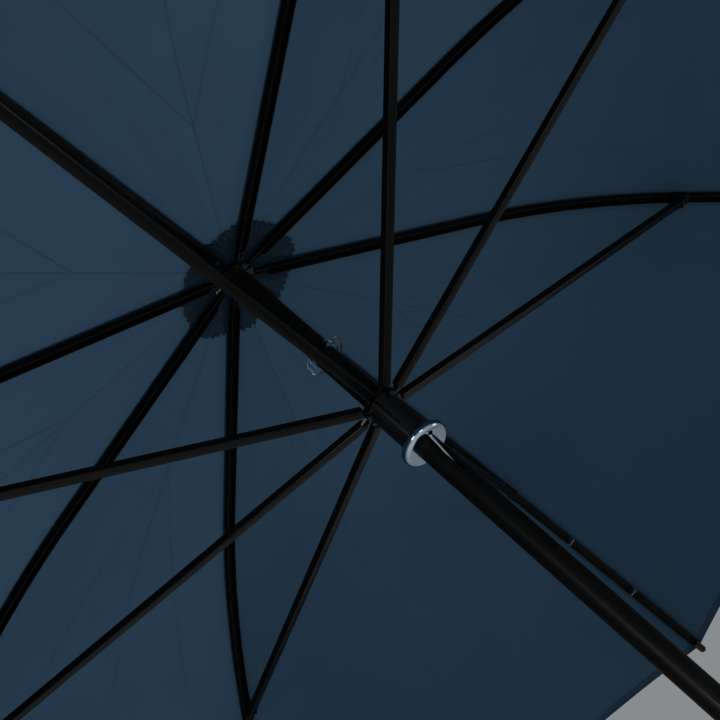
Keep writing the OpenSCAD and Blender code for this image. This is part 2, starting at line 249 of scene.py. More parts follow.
print("shader helpers ready")

# %% [markdown]
# The frame is painted steel. Spray paint is never flat: it has a fine orange-peel ripple, and its gloss drifts where
# hands and cloth have rubbed it. The ripple is a bump from fine noise, the rub a slow noise on roughness, and a
# middle-sized noise leaves a paler haze here and there.

# %% Painted steel
def painted_steel(name, colour, rough_low, rough_high, coat):
    material = finish_shader(name, colour, rough_low, Coat_Weight=coat, Coat_Roughness=0.1,
                             Specular_IOR_Level=0.10)
    rub = object_noise(material, 9.0, 4.0)
    vary_roughness(material, rub, rough_low, rough_high)
    haze = remap(material, object_noise(material, 24.0, 5.0), 0.5, 0.9, 0.0, 1.0)
    vary_colour(material, haze, colour, tuple(c * 1.7 for c in colour))
    add_bump(material, object_noise(material, 420.0, 2.0), 0.00005, 0.25)
    return material


CHANNEL_PAINT = painted_steel("black_channel_paint", (0.0030, 0.0030, 0.0034), 0.20, 0.32, 0.05)
POLE_PAINT = painted_steel("black_pole_paint", (0.0036, 0.0036, 0.0036), 0.40, 0.50, 0.02)
print("painted steel for channels and pole")

# %% [markdown]
# Moulded plastic carries the texture of its mould, finer and rounder than paint. The clear stop ring is the same
# kind of moulding without pigment, so its look is all in transmission and index.

# %% Plastics and rubber
def moulded_plastic(name, colour, rough_low, rough_high, grain):
    material = finish_shader(name, colour, rough_low, Specular_IOR_Level=0.25)
    vary_roughness(material, object_noise(material, 14.0, 3.0), rough_low, rough_high)
    dust = remap(material, object_noise(material, 38.0, 6.0), 0.55, 0.85, 0.0, 0.35)
    vary_colour(material, dust, colour, tuple(c * 2.4 for c in colour))
    add_bump(material, object_noise(material, 900.0, 2.0), grain, 0.5)
    return material


BLACK_PLASTIC = moulded_plastic("black_moulded_plastic", (0.005, 0.005, 0.0055), 0.22, 0.36, 0.00006)
RUBBER = moulded_plastic("black_rubber", (0.018, 0.018, 0.018), 0.62, 0.8, 0.00015)


def clear_plastic():
    material = finish_shader("clear_plastic", (0.80, 0.90, 0.97), 0.06, Transmission_Weight=1.0, IOR=1.10,
                             Specular_IOR_Level=0.3)
    vary_roughness(material, object_noise(material, 70.0, 3.0), 0.03, 0.08)
    add_bump(material, object_noise(material, 260.0, 2.0), 0.00003, 0.2)
    return material


CLEAR_PLASTIC = clear_plastic()
print("plastics ready")

# %% [markdown]
# Three bare metals: chrome on the collar, drawn spring wire, and zinc-plated hardware. They differ in how rough they
# are and in how the roughness lies: chrome has faint hairlines round it, wire has die marks along it, zinc is cloudy.
# The chrome's colour is darkened and tinted blue: a painted reflection of the navy canopy.

# %% Bare metals
def bare_metal(name, colour, rough_low, rough_high, scale, stretch):
    material = finish_shader(name, colour, rough_low, Metallic=1.0)
    streak = object_noise(material, scale, 3.0, stretch)
    vary_roughness(material, streak, rough_low, rough_high)
    add_bump(material, streak, 0.00003, 0.4)
    return material


# Blue-grey base colour on the chrome: painted reflection of the navy canopy, not the metal's own colour.
CHROME_PAINTED_REFLECTION = bare_metal("collar_chrome_painted_reflection", (0.30, 0.38, 0.47), 0.05, 0.12, 90.0, (1, 1, 12))
SPRING_WIRE = bare_metal("spring_wire", (0.86, 0.86, 0.86), 0.26, 0.36, 300.0, (6, 6, 1))
ZINC = bare_metal("zinc_plate", (0.55, 0.56, 0.58), 0.28, 0.46, 120.0, (1, 1, 1))
TIE_WIRE = bare_metal("dark_tie_wire", (0.20, 0.20, 0.21), 0.30, 0.44, 300.0, (1, 1, 1))
print("metals ready")

# %% [markdown]
# The weight is cast concrete: grey with paler cement patches, small dark air holes and grit that shows on its skin.
# Voronoi cells make both the grit and the holes, at two scales.

# %% Concrete
def cast_concrete():
    material = finish_shader("cast_concrete", (0.33, 0.32, 0.30), 0.85)
    vary_colour(material, object_noise(material, 7.0, 8.0), (0.22, 0.215, 0.205), (0.44, 0.43, 0.41))
    vary_roughness(material, object_noise(material, 30.0, 4.0), 0.75, 0.95)
    place = add_node(material, "ShaderNodeTexCoord")
    for scale, low, high, depth in ((140.0, 0.10, 0.22, 0.0012), (520.0, 0.0, 0.6, 0.0003)):
        cells = add_node(material, "ShaderNodeTexVoronoi", Scale=scale)
        wire(material, place.outputs["Object"], cells.inputs["Vector"])
        add_bump(material, remap(material, cells.outputs["Distance"], low, high, 0.0, 1.0), depth, 0.7)
    return material


CONCRETE = cast_concrete()
print("concrete ready")

# %% [markdown]
# The cloth is a close plain weave of navy polyester. Its threads are under a millimetre, so they are a bump and a
# faint colour change from two wave textures, one along the gore and one across. They read the piece's own UV map,
# which is laid out in metres, so the weave keeps its scale and runs straight up each gore. A soft, slow noise gives
# the puckers that a light cloth keeps under tension, and a share of translucence lets daylight through.

# %% Woven cloth
THREADS_PER_METRE = 1100


def woven_cloth(name, dark, light, sheen):
    material = finish_shader(name, light, 0.62, Sheen_Weight=sheen, Sheen_Roughness=0.45, Specular_IOR_Level=0.12)
    place = add_node(material, "ShaderNodeTexCoord")
    weave = None
    for axis in ("X", "Y"):
        wave = add_node(material, "ShaderNodeTexWave", bands_direction=axis)
        wave.inputs["Scale"].default_value = THREADS_PER_METRE / 20
        wave.inputs["Distortion"].default_value = 0.6
        wave.inputs["Detail"].default_value = 1.0
        wire(material, place.outputs["UV"], wave.inputs["Vector"])
        if weave is None:
            weave = wave.outputs["Fac"]
        else:
            cross = add_node(material, "ShaderNodeMath", operation="MULTIPLY")
            wire(material, weave, cross.inputs[0])
            wire(material, wave.outputs["Fac"], cross.inputs[1])
            weave = cross.outputs[0]
    slow = object_noise(material, 3.5, 3.0)
    blend = add_node(material, "ShaderNodeMath", operation="MULTIPLY_ADD")
    wire(material, weave, blend.inputs[0])
    blend.inputs[1].default_value = 0.35
    wire(material, remap(material, slow, 0.3, 0.7, 0.1, 0.65), blend.inputs[2])
    vary_colour(material, blend.outputs[0], dark, light)
    vary_roughness(material, slow, 0.55, 0.72)
    add_bump(material, object_noise(material, 26.0, 4.0), 0.0011, 0.35)
    add_bump(material, weave, 0.00010, 0.5)
    return material


def let_light_through(material, colour, share):
    """Thin cloth glows a little with the light behind it."""
    nodes = material.node_tree.nodes
    glow = add_node(material, "ShaderNodeBsdfTranslucent")
    glow.inputs["Color"].default_value = (*colour, 1)
    mix = add_node(material, "ShaderNodeMixShader")
    mix.inputs["Fac"].default_value = share
    wire(material, nodes["Principled BSDF"].outputs["BSDF"], mix.inputs[1])
    wire(material, glow.outputs["BSDF"], mix.inputs[2])
    wire(material, mix.outputs["Shader"], nodes["Material Output"].inputs["Surface"])


NAVY_CLOTH = woven_cloth("navy_cloth", (0.011, 0.027, 0.052), (0.017, 0.040, 0.073), 0.03)
let_light_through(NAVY_CLOTH, (0.34, 0.45, 0.57), 0.3)
# The rosette is the canopy's own cloth; its darker colours are painted shade.
ROSETTE_CLOTH_PAINTED_SHADE = woven_cloth("navy_rosette_cloth_painted_shade", (0.003, 0.009, 0.019), (0.011, 0.027, 0.052), 0.02)
TAPE_CLOTH = woven_cloth("navy_tape", (0.007, 0.018, 0.036), (0.011, 0.028, 0.052), 0.03)


def sewing_thread():
    material = finish_shader("navy_thread", (0.012, 0.026, 0.048), 0.6, Sheen_Weight=0.4)
    twist = object_noise(material, 1800.0, 1.0, stretch=(1, 1, 0.2))
    vary_colour(material, twist, (0.008, 0.018, 0.034), (0.030, 0.055, 0.090))
    add_bump(material, twist, 0.00008, 0.6)
    return material


THREAD = sewing_thread()
print("cloth and thread ready")

# %% [markdown]
# Every piece made here ends the same way: its mesh is in place in the frame, its object sits at the origin, it has a
# material, and it rides on a body; the CAD nodes it stands for, if any, are hidden. One helper puts it on its body
# and hides those nodes. Modifiers are turned into plain mesh first, because the frame tools want a mesh that is
# final.

# %% Piece helpers
def mesh_object(name, mesh, *materials):
    obj = bpy.data.objects.new(name, mesh)
    bpy.context.scene.collection.objects.link(obj)
    for material in materials:
        mesh.materials.append(material)
    return obj


def mesh_from(shell, name):
    """Turn a bmesh into a mesh and let go of it."""
    mesh = bpy.data.meshes.new(name)
    shell.to_mesh(mesh)
    shell.free()
    return mesh


def evaluated_mesh(obj):
    """What an object's modifiers or curve settings make of it, as a mesh."""
    bpy.context.view_layer.update()
    return bpy.data.meshes.new_from_object(obj.evaluated_get(bpy.context.evaluated_depsgraph_get()))


def line_object(name, paths, closed=False):
    """A curve object with one straight-edged line for each path."""
    curve = bpy.data.curves.new(name, "CURVE")
    curve.dimensions = "3D"
    for path in paths:
        spline = curve.splines.new("POLY")
        spline.points.add(len(path) - 1)
        for target, point in zip(spline.points, path):
            target.co = (*point, 1)
        spline.use_cyclic_u = closed
    line = bpy.data.objects.new(name + "_line", curve)
    bpy.context.scene.collection.objects.link(line)
    return line


def wire_mesh(name, paths, radius, roundness, closed=False):
    """Round wire or thread along paths, as a smooth mesh."""
    line = line_object(name, paths, closed)
    line.data.bevel_depth = radius
    line.data.bevel_resolution = roundness
    line.data.use_fill_caps = not closed
    mesh = evaluated_mesh(line)
    bpy.data.objects.remove(line)
    mesh.shade_smooth()
    return mesh


def bake_modifiers(obj):
    """Swap an object's mesh for what its modifiers make of it."""
    made = evaluated_mesh(obj)
    obj.modifiers.clear()
    obj.data = made
    return obj


def thicken(obj, thickness):
    solid = obj.modifiers.new("thickness", "SOLIDIFY")
    solid.thickness = thickness
    solid.offset = 0
    return bake_modifiers(obj)


def smooth_by_angle(obj, degrees=35):
    """Shade smooth, and mark as sharp the edges that bend more than this."""
    mesh = obj.data
    mesh.shade_smooth()
    shell = bmesh.new()
    shell.from_mesh(mesh)
    limit = math.radians(degrees)
    for edge in shell.edges:
        edge.smooth = len(edge.link_faces) == 2 and edge.calc_face_angle(0) < limit
    shell.to_mesh(mesh)
    shell.free()


def join_into(obj, others):
    """Add other objects' meshes to the first, with their materials."""
    with bpy.context.temp_override(active_object=obj, selected_editable_objects=[obj, *others]):
        bpy.ops.object.join()
    return obj


def place_piece(obj, body, slot, *nodes):
    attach(obj, body)
    if nodes:
        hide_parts(*nodes)
    return obj


def in_rib_plane(angle, out, across, height):
    """A point at a distance out along a rib's direction and across it."""
    c, s = math.cos(angle), math.sin(angle)
    return Vector((out * c - across * s, out * s + across * c, height))


print("piece helpers ready")

# %% [markdown]
# Ribs and stretchers are strips of steel pressed into a U, with round shoulders where the sheet bends, and squeezed
# flat at the end that turns on the crown's wire. A bevelled box would miss both, so the channel is lofted: a U-shaped
# outline of points is carried along the line, and over the neck it closes up into a flat tongue.

# %% Loft a pressed channel
SHOULDER = 0.0016
FLAT_WIDTH = 0.0028
FLAT_DEPTH = 0.0052
BEND_POINTS = 5


def channel_outline(width, depth, wall, shoulder):
    """The U's outline (across, up), closed side on top, starting at one foot's outside."""
    half = width / 2
    top = depth / 2
    radius = min(shoulder, half * 0.8)
    outer = [(-half, -top)]
    for i in range(BEND_POINTS):
        turn = math.pi / 2 * i / (BEND_POINTS - 1)
        outer.append((-half + radius * (1 - math.cos(turn)), top - radius * (1 - math.sin(turn))))
    outer += [(-x, z) for x, z in reversed(outer)]
    inner_radius = max(radius - wall, radius * 0.2)
    inner = [(half - wall, -top)]
    for i in range(BEND_POINTS):
        turn = math.pi / 2 * i / (BEND_POINTS - 1)
        across = half - wall - inner_radius * (1 - math.cos(turn))
        inner.append((across, top - wall - inner_radius * (1 - math.sin(turn))))
    inner += [(-x, z) for x, z in reversed(inner)]
    return outer + inner


EYE_OUTLINE = channel_outline(FLAT_WIDTH, FLAT_DEPTH, FLAT_WIDTH * 0.48, 0.0006)
NECK_OUTLINE = channel_outline(NECK_WIDTH, FLAT_DEPTH, NECK_WIDTH * 0.36, 0.0014)


def between(first, second, share):
    """An outline part of the way from one to another, with an eased start and end."""
    ease = share * share * (3 - 2 * share)
    return [(a[0] + (b[0] - a[0]) * ease, a[1] + (b[1] - a[1]) * ease) for a, b in zip(first, second)]


def pressed_run(first, second, start, end, count=8):
    """Stations (distance, outline) over a stretch where one outline is pressed into another."""
    return [(start + (end - start) * i / (count - 1), between(first, second, i / (count - 1))) for i in range(count)]


def even_run(outline, start, end, count):
    return [(start + (end - start) * i / (count - 1), outline) for i in range(count)]


def loft(sections, loop=False):
    """Skin a list of rings of points, and close both ends or join the last ring to the first."""
    shell = bmesh.new()
    rings = [[shell.verts.new(p) for p in ring] for ring in sections]
    count = len(rings[0])
    for near, far in zip(rings, rings[1:] + (rings[:1] if loop else [])):
        for i in range(count):
            j = (i + 1) % count
            shell.faces.new((near[i], near[j], far[j], far[i]))
    for ring in () if loop else (rings[0], rings[-1]):
        for i in range(count // 2 - 1):
            shell.faces.new((ring[i], ring[i + 1], ring[count - 2 - i], ring[count - 1 - i]))
    bmesh.ops.recalc_face_normals(shell, faces=shell.faces)
    return mesh_from(shell, "loft")


print("channel outline has", len(channel_outline(RIB_WIDTH, CHANNEL_DEPTH, CHANNEL_WALL, SHOULDER)), "points")

# %% [markdown]
# The eye at the end of a tongue is a small drilled disc. It is made as a ring of quads, so the hole is really open
# and the tie wire can be seen to pass through it.

# %% Drilled eyes
EYE_OUTER = 0.0026
EYE_HOLE = 0.0011
DISC_STEPS = 28


def drilled_disc(centre, axis, outer=EYE_OUTER, inner=EYE_HOLE, thickness=FLAT_WIDTH):
    """A washer-shaped mesh, its hole along an axis."""
    turn = Vector((0, 0, 1)).rotation_difference(axis)
    sections = []
    for i in range(DISC_STEPS):
        angle = 2 * math.pi * i / DISC_STEPS
        across = Vector((math.cos(angle), math.sin(angle), 0))
        ring = []
        for radius, side in ((inner, -0.5), (outer, -0.5), (outer, 0.5), (inner, 0.5)):
            ring.append(centre + turn @ (across * radius + Vector((0, 0, side * thickness))))
        sections.append(ring)
    return loft(sections, loop=True)


print("drilled disc helper ready")

# %% [markdown]
# Along a rib the outline goes from the flat eye to a narrow neck, opens to the full channel, and closes again to the
# tongue that the plastic tip is pushed on.

# %% Ribs
def rib_stations():
    """Where the rib gets a ring of points, and which outline it has there."""
    full = channel_outline(RIB_WIDTH, CHANNEL_DEPTH, CHANNEL_WALL, SHOULDER)
    tail = RIB_LENGTH - TIP_TONGUE
    return (
        even_run(EYE_OUTLINE, 0.0022, 0.0052, 2)
        + pressed_run(EYE_OUTLINE, NECK_OUTLINE, 0.0056, 0.0090)
        + even_run(NECK_OUTLINE, 0.0105, RIB_NECK - 0.004, 4)
        + pressed_run(NECK_OUTLINE, full, RIB_NECK - 0.003, RIB_NECK + 0.002)
        + even_run(full, RIB_NECK + 0.005, tail - 0.005, 62)
        + pressed_run(full, EYE_OUTLINE, tail - 0.004, tail + 0.009, 6)
    )


def make_rib(k):
    angle = STEP * (k - 1)
    sections = []
    for along, outline in rib_stations():
        ring = []
        for across, up in outline:
            out, height, _ = rib_line(along, up)
            ring.append(in_rib_plane(angle, out, across, height))
        sections.append(ring)
    rib = mesh_object(f"rib_channel_{k}", loft(sections), CHANNEL_PAINT)
    eye_mesh = drilled_disc(in_rib_plane(angle, PIVOT_R, 0, CROWN), in_rib_plane(angle, 0, 1, 0))
    join_into(rib, [mesh_object("rib_eye", eye_mesh, CHANNEL_PAINT)])
    smooth_by_angle(rib)
    return place_piece(rib, f"rib_body_{k}", "black_steel", f"rib_{k}")


ribs = [make_rib(k) for k in range(1, RIBS + 1)]
print(len(ribs), "ribs of", len(ribs[0].data.polygons), "faces")

# %% [markdown]
# A stretcher is the same channel the other way up, straight, from the runner's wire to the rib's pin. At the pin end
# its floor is cut away and its two sides run on as ears, so that it can swing round the rib without hitting it.

# %% Stretchers
EAR = 0.009


def stretcher_frame():
    """Start, unit direction and upward normal in the rib's plane, and length."""
    start = Vector((PIVOT_R, RUNNER_Z))
    along = Vector((PIN_R, PIN_Z)) - start
    length = along.length
    along.normalize()
    return start, along, Vector((-along[1], along[0])), length


def ear_mesh(angle, side):
    """One side plate that carries the pin, as an extruded outline with a round end."""
    start, along, up, length = stretcher_frame()
    half = CHANNEL_DEPTH / 2
    outline = [(length - EAR - 0.002, -half), (length, -half)]
    outline += [(length + half * math.cos(a), half * math.sin(a))
                for a in [math.pi * (i / 12 - 0.5) for i in range(1, 12)]]
    outline += [(length, half), (length - EAR - 0.002, half)]
    outside = side * STRETCHER_WIDTH / 2
    inside = side * (STRETCHER_WIDTH / 2 - CHANNEL_WALL)
    shell = bmesh.new()
    layers = []
    for across in (outside, inside):
        layer = []
        for x, z in outline:
            place = start + along * x + up * z
            layer.append(shell.verts.new(in_rib_plane(angle, place[0], across, place[1])))
        layers.append(layer)
    shell.faces.new(layers[0])
    shell.faces.new(list(reversed(layers[1])))
    for i in range(len(outline)):
        j = (i + 1) % len(outline)
        shell.faces.new((layers[0][j], layers[0][i], layers[1][i], layers[1][j]))
    bmesh.ops.recalc_face_normals(shell, faces=shell.faces)
    return mesh_from(shell, "ear")


def make_stretcher(k):
    angle = STEP * (k - 1)
    start, along, up, length = stretcher_frame()
    full = channel_outline(STRETCHER_WIDTH, CHANNEL_DEPTH, CHANNEL_WALL, SHOULDER)
    stations = (
        even_run(EYE_OUTLINE, 0.0022, 0.0052, 2)
        + pressed_run(EYE_OUTLINE, full, 0.0056, STRETCHER_NECK + 0.002)
        + even_run(full, STRETCHER_NECK + 0.006, length - EAR, 5)
    )
    sections = []
    for x, outline in stations:
        ring = []
        for across, z in outline:
            place = start + along * x - up * z
            ring.append(in_rib_plane(angle, place[0], across, place[1]))
        sections.append(ring)
    bar = mesh_object(f"stretcher_channel_{k}", loft(sections), CHANNEL_PAINT)
    extras = [mesh_object("ear", ear_mesh(angle, side), CHANNEL_PAINT) for side in (-1, 1)]
    eye_mesh = drilled_disc(in_rib_plane(angle, PIVOT_R, 0, RUNNER_Z), in_rib_plane(angle, 0, 1, 0))
    extras.append(mesh_object("eye", eye_mesh, CHANNEL_PAINT))
    join_into(bar, extras)
    smooth_by_angle(bar)
    return place_piece(bar, f"stretcher_body_{k}", "black_steel", f"stretcher_{k}")


stretchers = [make_stretcher(k) for k in range(1, RIBS + 1)]
print(len(stretchers), "stretchers of", round(stretcher_frame()[3], 3), "m")

# %% [markdown]
# The canopy is one sheet under tension, hung on eight ribs. Across a gore it runs nearly straight from rib to rib and
# sags a little towards the middle; its rim is cut as a shallow arc between the tips. One function gives any point of
# it, so neighbours share their edges exactly and the sheet is continuous.
# Close to the crown the cloth pulls into faint radial puckers, which fade on the way out.

# %% The canopy's surface
CLOTH_START = 0.003
SCALLOP = 0.030
SAG = 0.013
PUCKER = 0.0003


def across_gore(t):
    """0 at both ribs and 1 in the middle."""
    return 4 * t * (1 - t)


def gore_point(gore, t, share, up=0.0):
    """A point of gore 1..8: t from its first rib (0) to its second (1), share from crown (0) to rim (1)."""
    rim = RIB_LENGTH - SCALLOP * across_gore(t)
    along = CLOTH_START + (rim - CLOTH_START) * share
    out, height, slope = rib_line(along, CLOTH_UP + up)
    x = along / RIB_LENGTH
    dip = SAG * across_gore(t) * (math.sin(math.pi * x ** 1.4) + 0.35 * x * x)
    waves = math.sin(3 * 2 * math.pi * t + gore) + 0.6 * math.sin(7 * 2 * math.pi * t + 2.1 * gore)
    dip += PUCKER * across_gore(t) * waves * math.exp(-((x - 0.22) / 0.16) ** 2)
    drag = math.sin(2 * math.pi * (2.5 * x + 1.5 * t) + 1.7 * gore)
    dip += 0.0012 * across_gore(t) ** 2 * drag * x
    middle = out * math.cos(HALF) - dip * math.sin(slope)
    side = out * math.sin(HALF) * (2 * t - 1)
    return in_rib_plane(STEP * (gore - 1) + HALF, middle, side, height - dip * math.cos(slope))


rim_middle = gore_point(1, 0.5, 1.0)
print("rim between ribs is", round(math.hypot(rim_middle.x, rim_middle.y), 3), "m out")

# %% [markdown]
# A folding canopy has to bunch up between its ribs. Each gore is cut down its middle, and each half rides on its own
# rib. At rest the cut doesn't show: both halves share that line. Each half is a grid of points with a UV map in
# metres and a folded hem on its underside.

# %% Cut the cloth
CLOTH_ROWS = 96
CLOTH_COLUMNS = 22
HEM_WIDTH = 0.012
HEM_GAP = 0.0009


def sheet_mesh(name, *layers):
    """Quads, facing up, between the rows of each layer; a row is a list of (point, uv) pairs."""
    shell = bmesh.new()
    uv = shell.loops.layers.uv.new("weave")
    for layer in layers:
        rows = [[(shell.verts.new(point), flat) for point, flat in row] for row in layer]
        for near, far in zip(rows, rows[1:]):
            for i in range(len(near) - 1):
                corners = (near[i], near[i + 1], far[i + 1], far[i])
                face = shell.faces.new([corner[0] for corner in corners])
                for loop, corner in zip(face.loops, corners):
                    loop[uv].uv = corner[1]
    shell.normal_update()
    if sum(face.normal.z * face.calc_area() for face in shell.faces) < 0:
        bmesh.ops.reverse_faces(shell, faces=shell.faces)
    return mesh_from(shell, name)


def cloth_uv(t, share, point):
    """Metres across from the gore's middle line, and metres from the crown."""
    return ((t - 0.5) * 2 * math.hypot(point.x, point.y) * math.tan(HALF), share * RIB_LENGTH)


def half_gore_mesh(gore, from_t):
    """The half of a gore next to the rib at from_t (0 or 1), with its hem."""
    columns = [from_t + (0.5 - from_t) * i / CLOTH_COLUMNS for i in range(CLOTH_COLUMNS + 1)]
    hem_start = 1 - HEM_WIDTH / RIB_LENGTH
    layers = []
    for shares, up in (([i / CLOTH_ROWS for i in range(CLOTH_ROWS + 1)], 0.0),
                       ([hem_start, (hem_start + 1) / 2, 1.0], -HEM_GAP)):
        layer = []
        for share in shares:
            points = [gore_point(gore, t, share, up) for t in columns]
            layer.append([(point, cloth_uv(t, share, point)) for t, point in zip(columns, points)])
        layers.append(layer)
    return sheet_mesh("half_gore", *layers)


def sheet_area(mesh):
    return sum(face.area for face in mesh.polygons)


sample = half_gore_mesh(1, 0)
print("half a gore:", len(sample.polygons), "faces,", round(sheet_area(sample), 3), "square metres")
bpy.data.meshes.remove(sample)

# %% [markdown]
# Stitches repeat by the thousand, so Geometry Nodes make them: a curve is cut into equal steps, a stubby thread is
# put on each point along the curve, and the instances are made real with the thread's material. The tree has named
# inputs for the stitch's pitch, length and thickness, and a seam is then only a list of points.

# %% Stitch maker
def stitch_tree():
    """Geometry Nodes: stitches along a curve."""
    tree = bpy.data.node_groups.new("stitches", "GeometryNodeTree")
    face = tree.interface
    face.new_socket("Geometry", in_out="INPUT", socket_type="NodeSocketGeometry")
    for name in ("Pitch", "Stitch length", "Thread radius"):
        face.new_socket(name, in_out="INPUT", socket_type="NodeSocketFloat")
    face.new_socket("Geometry", in_out="OUTPUT", socket_type="NodeSocketGeometry")
    node = tree.nodes.new
    link = tree.links.new
    given, result = node("NodeGroupInput"), node("NodeGroupOutput")
    points = node("GeometryNodeCurveToPoints")
    points.mode = "LENGTH"
    link(given.outputs["Geometry"], points.inputs["Curve"])
    link(given.outputs["Pitch"], points.inputs["Length"])
    body = node("GeometryNodeMeshCylinder")
    body.inputs["Vertices"].default_value = 6
    link(given.outputs["Thread radius"], body.inputs["Radius"])
    link(given.outputs["Stitch length"], body.inputs["Depth"])
    spread = node("GeometryNodeInstanceOnPoints")
    link(points.outputs["Points"], spread.inputs["Points"])
    link(body.outputs["Mesh"], spread.inputs["Instance"])
    link(points.outputs["Rotation"], spread.inputs["Rotation"])
    real = node("GeometryNodeRealizeInstances")
    link(spread.outputs["Instances"], real.inputs["Geometry"])
    paint = node("GeometryNodeSetMaterial")
    paint.inputs["Material"].default_value = THREAD
    link(real.outputs["Geometry"], paint.inputs["Geometry"])
    link(paint.outputs["Geometry"], result.inputs["Geometry"])
    return tree


STITCHES = stitch_tree()
SOCKETS = {item.name: item.identifier for item in STITCHES.interface.items_tree if item.in_out == "INPUT"}


def sew(name, points, pitch=0.0036, length=0.0026, radius=0.00022):
    """A row of stitches along points, as a plain mesh object."""
    line = line_object(name, [points])
    maker = line.modifiers.new("stitches", "NODES")
    maker.node_group = STITCHES
    for socket, value in (("Pitch", pitch), ("Stitch length", length), ("Thread radius", radius)):
        maker[SOCKETS[socket]] = value
    mesh = evaluated_mesh(line)
    bpy.data.objects.remove(line)
    return mesh_object(name, mesh)


print("stitch inputs:", sorted(SOCKETS))

# %% [markdown]
# Folding numbers. As the frame closes, the cloth near a rib keeps a fair share of its width, and the cloth further
# out is pressed almost flat, so that it hangs as a pleat between the ribs. That is two different squeezes, so each
# half is cut once more along a line beside its rib. The numbers are set so that the second squeeze would start from
# where the first one leaves that line and the cut would stay shut all the way down. This script makes the cut and
# sets the numbers, but applies neither squeeze.

# %% Folding numbers and the cut
NEAR_RIB = 0.090
NEAR_KEEP = 0.44
FAR_KEEP = 0.01
FAR_START = NEAR_RIB * (1 - (1 - NEAR_KEEP) / (1 - FAR_KEEP))
ZONES = (("near", 0.0, NEAR_KEEP), ("far", FAR_START, FAR_KEEP))


def zone_mesh(mesh, angle, side, zone):
    """The part of a half gore between its rib and the cut, or beyond the cut."""
    part = mesh.copy()
    shell = bmesh.new()
    shell.from_mesh(part)
    bmesh.ops.bisect_plane(
        shell,
        geom=shell.verts[:] + shell.edges[:] + shell.faces[:],
        plane_co=in_rib_plane(angle, 0, side * NEAR_RIB, 0),
        plane_no=in_rib_plane(angle, 0, side, 0),
        clear_outer=zone == "near",
        clear_inner=zone == "far",
    )
    shell.to_mesh(part)
    shell.free()
    return part


def in_zone(points, angle, side, zone):
    """The points of a seam that belong to a zone."""
    across = in_rib_plane(angle, 0, side, 0)
    return [p for p in points if (p.dot(across) < NEAR_RIB) == (zone == "near")]


print("the outer cloth folds towards a line", round(FAR_START * 1000, 1), "mm beside the rib")

# %% [markdown]
# Sixteen half gores in two folding zones each. A zone is thickened and its hem is sewn along two lines.

# %% Canopy cloth
SIDE_NAMES = {1: "left", -1: "right"}
STITCH_INSET = 0.8
HEM_STEPS = 60


def hem_seams(gore, from_t):
    """Lines of the hem's stitches, under and over the cloth."""
    share = 1 - STITCH_INSET * HEM_WIDTH / RIB_LENGTH
    reach = [from_t + (0.5 - from_t) * i / HEM_STEPS for i in range(HEM_STEPS + 1)]
    under = [gore_point(gore, t, share, -HEM_GAP - CLOTH_THICK / 2) for t in reach]
    over = [gore_point(gore, t, share, CLOTH_THICK / 2) for t in reach]
    return under, over


def make_cloth(rib, side):
    """The cloth on one side of a rib, in its two folding zones."""
    angle = STEP * (rib - 1)
    gore = rib if side > 0 else (rib - 2) % RIBS + 1
    from_t = 0 if side > 0 else 1
    whole = half_gore_mesh(gore, from_t)
    seams = hem_seams(gore, from_t)
    pieces = []
    for zone, start, keep in ZONES:
        mesh = zone_mesh(whole, angle, side, zone)
        cloth = mesh_object(f"canopy_{rib}_{SIDE_NAMES[side]}_{zone}", mesh, NAVY_CLOTH)
        thicken(cloth, CLOTH_THICK)
        join_into(cloth, [sew("hem", in_zone(seam, angle, side, zone)) for seam in seams])
        smooth_by_angle(cloth, 50)
        place_piece(cloth, f"rib_body_{rib}", "navy_cloth", f"canopy_{rib}")
        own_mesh(cloth)
        pieces.append(cloth)
    bpy.data.meshes.remove(whole)
    return pieces


canopy = [piece for rib in range(1, RIBS + 1) for side in (1, -1) for piece in make_cloth(rib, side)]
print(len(canopy), "pieces of cloth,", sum(len(piece.data.polygons) for piece in canopy), "faces")

# %% [markdown]
# Gores meet along the ribs in a seam, and a narrow tape is sewn over it outside to keep rain out. The tape is bent
# over the ridge with the cloth, and two rows of stitches run down it. It stays on its rib when the cloth folds.

# %% Seam tapes
TAPE_HALF = 0.0075
TAPE_UP = 0.0007
TAPE_THICK = 0.0004
TAPE_STEPS = (-1, -0.9, -0.5, -0.12, 0, 0.12, 0.5, 0.9, 1)
TAPE_SHARES = [0.012 + 0.982 * i / 80 for i in range(81)]
TURNED_EDGE = 0.0003


def beside_rib(rib, share, across, up):
    """A point on the cloth at a distance across from a rib's ridge."""
    gore = rib if across >= 0 else (rib - 2) % RIBS + 1
    ridge = gore_point(gore, 0 if across >= 0 else 1, share)
    chord = 2 * math.hypot(ridge.x, ridge.y) * math.sin(HALF)
    t = min(abs(across) / chord, 0.5)
    return gore_point(gore, t if across >= 0 else 1 - t, share, up)


def make_seam_tape(rib):
    rows = []
    for share in TAPE_SHARES:
        row = []
        for step in TAPE_STEPS:
            across = TAPE_HALF * step
            edge = TURNED_EDGE if abs(step) == 1 else 0
            point = beside_rib(rib, share, across, TAPE_UP - edge)
            row.append((point, (across, share * RIB_LENGTH)))
        rows.append(row)
    tape = mesh_object(f"seam_tape_{rib}", sheet_mesh("tape", rows), TAPE_CLOTH)
    thicken(tape, TAPE_THICK)
    rows = []
    for across in (-0.72 * TAPE_HALF, 0.72 * TAPE_HALF):
        points = [beside_rib(rib, share, across, TAPE_UP + TAPE_THICK / 2) for share in TAPE_SHARES]
        rows.append(sew("tape_row", points, pitch=0.0042, length=0.003, radius=0.00025))
    join_into(tape, rows)
    smooth_by_angle(tape, 50)
    place_piece(tape, f"rib_body_{rib}", "navy_cloth")
    return tape


tapes = [make_seam_tape(rib) for rib in range(1, RIBS + 1)]
print(len(tapes), "seam tapes")

# %% [markdown]
# Thread ties hold the seam down on the rib between the pin and the tip. Each is a few turns of thread round the
# channel and through the cloth, so it is drawn as a curve that goes round a rounded rectangle while it creeps along.

